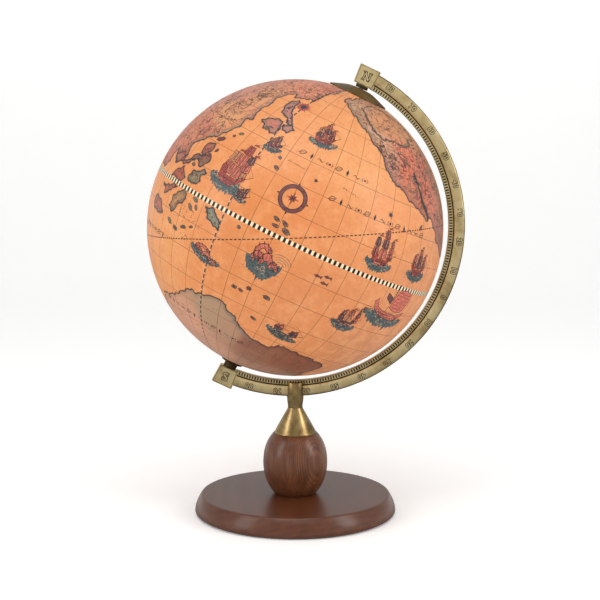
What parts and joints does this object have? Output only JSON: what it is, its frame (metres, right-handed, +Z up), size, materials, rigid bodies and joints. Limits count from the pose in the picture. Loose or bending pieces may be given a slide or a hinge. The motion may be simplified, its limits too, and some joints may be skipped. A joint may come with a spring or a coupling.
{
  "type": "desktop globe on stand",
  "caption": "Antique-style desk globe that turns on a tilted axis in a brass semi-meridian arm, on a turned wooden bulb stem and round wooden base.",
  "frame": {"origin": "centre of the felt's flat underside, where the stand rests", "axes": "+Z up through the stem; +X the side that the polar axis leans to and the meridian arm opens from; -Y the front, from which the arm is seen flat on"},
  "size_m": [0.3545, 0.33, 0.5084],
  "materials": {
    "walnut": "dark walnut stain under satin lacquer",
    "antique_brass": "aged olive-gold brass, dark patina in the recesses",
    "dark_brass": "dark bronzed brass, satin",
    "steel": "zinc-plated, plain",
    "felt": "black pressed felt",
    "nylon": "black nylon, matte",
    "map_print": "printed map gores under satin varnish on a moulded shell",
    "shell_plastic": "plain moulded plastic, unfinished inside"
  },
  "bodies": {
    "stand": {"base_felt": "felt", "base_disc": "walnut", "base_washer": "steel", "base_nut": "steel", "tie_rod": "steel", "stem_bulb": "walnut", "stem_ferrule": "antique_brass", "meridian_saddle": "antique_brass", "saddle_screw": "antique_brass", "meridian_arm": "antique_brass", "north_block": "antique_brass", "south_block": "antique_brass", "north_block_screw": "antique_brass", "south_block_screw": "antique_brass", "north_pivot_pin": "steel", "south_pivot_pin": "steel", "north_friction_washer": "nylon", "south_friction_washer": "nylon", "north_spacer": "dark_brass", "south_spacer": "dark_brass"},
    "globe": {"north_hemisphere": "map_print", "south_hemisphere": "map_print", "equator_joining_band": "shell_plastic", "north_hub": "shell_plastic", "south_hub": "shell_plastic", "north_polar_cap": "dark_brass", "south_pole_collar": "dark_brass"}
  },
  "joints": [
    {"name": "globe_spin", "type": "hinge", "parent": "stand", "child": "globe", "pos_m": [0, 0, 0.3261], "axis": [0.4258, 0, 0.9048], "continuous": true}
  ]
}
